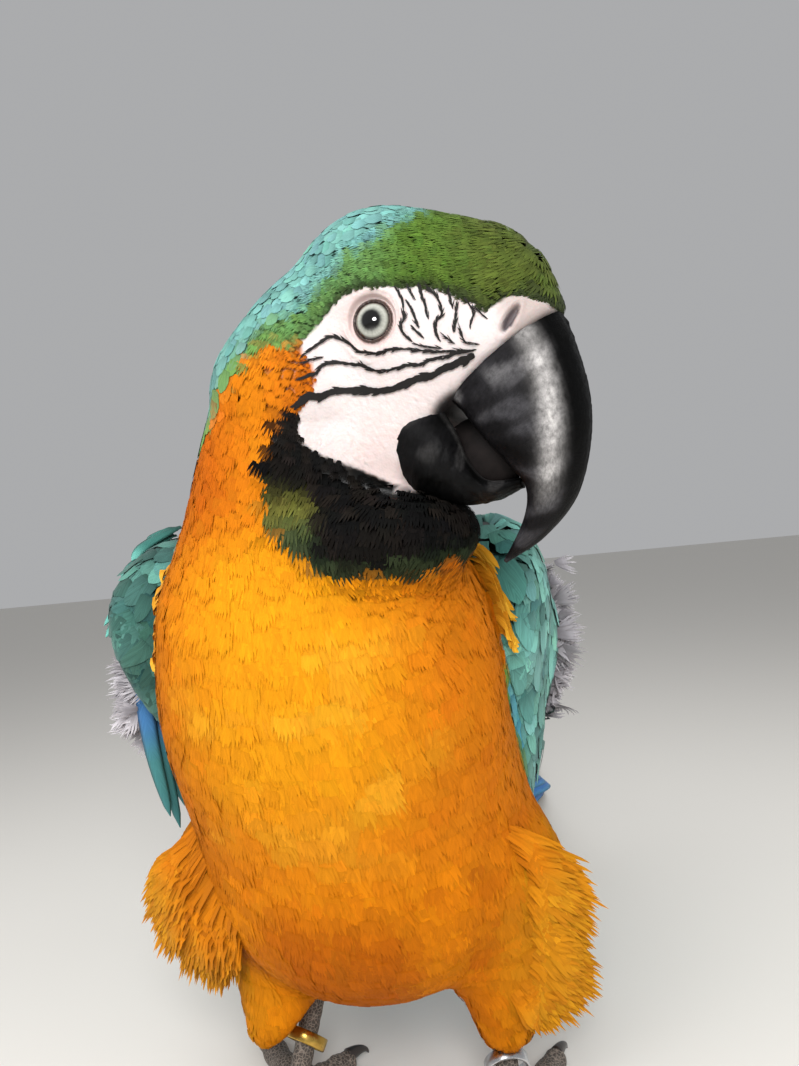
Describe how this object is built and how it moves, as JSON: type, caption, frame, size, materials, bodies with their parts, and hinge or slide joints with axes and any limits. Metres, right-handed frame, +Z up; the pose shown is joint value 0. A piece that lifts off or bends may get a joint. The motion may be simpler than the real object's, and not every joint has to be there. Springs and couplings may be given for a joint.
{
  "type": "macaw",
  "caption": "Life-size still model of a blue-and-yellow macaw standing with its head turned aside, leg rings on, long tail laid back on the floor.",
  "frame": {"origin": "middle of the footprint, on the floor the bird stands on", "axes": "+Z up, -Y the way the bird's body faces, +X its left side, +Y back along the tail"},
  "size_m": [0.2284, 0.6414, 0.3223],
  "materials": {
    "head_feathers": "soft feathers, green crown over a bare white face",
    "body_feathers": "soft orange-yellow feathers",
    "bill": "satin horn, charcoal black",
    "tongue": "moist, grey",
    "eye": "glossy, pale iris round a black pupil",
    "foot_skin": "scaly grey skin",
    "claw": "satin horn",
    "ring_silver": "satin metal band",
    "ring_gold": "gold-coloured metal band",
    "wing_coverts": "turquoise contour feathers",
    "flight_feathers": "stiff blue vanes, yellow beneath"
  },
  "bodies": {
    "root": {"head": "head_feathers", "neck": "body_feathers", "trunk": "body_feathers", "thigh_left": "body_feathers", "thigh_right": "body_feathers", "upper_bill": "bill", "lower_bill": "bill", "tongue": "tongue", "eye_left": "eye", "eye_right": "eye", "foot_left": "foot_skin", "foot_right": "foot_skin", "toe_left_inner_front": "foot_skin", "toe_left_outer_front": "foot_skin", "toe_left_outer_back": "foot_skin", "toe_left_inner_back": "foot_skin", "toe_right_inner_front": "foot_skin", "toe_right_outer_front": "foot_skin", "toe_right_outer_back": "foot_skin", "toe_right_inner_back": "foot_skin", "claw_left_inner_front": "claw", "claw_left_outer_front": "claw", "claw_left_outer_back": "claw", "claw_left_inner_back": "claw", "claw_right_inner_front": "claw", "claw_right_outer_front": "claw", "claw_right_outer_back": "claw", "claw_right_inner_back": "claw", "leg_ring_left": "ring_silver", "leg_ring_right": "ring_gold", "wing_left": "wing_coverts", "wing_right": "wing_coverts", "flight_left": "flight_feathers", "flight_right": "flight_feathers", "tail_central": "flight_feathers", "tail_left": "flight_feathers", "tail_right": "flight_feathers"}
  },
  "joints": []
}
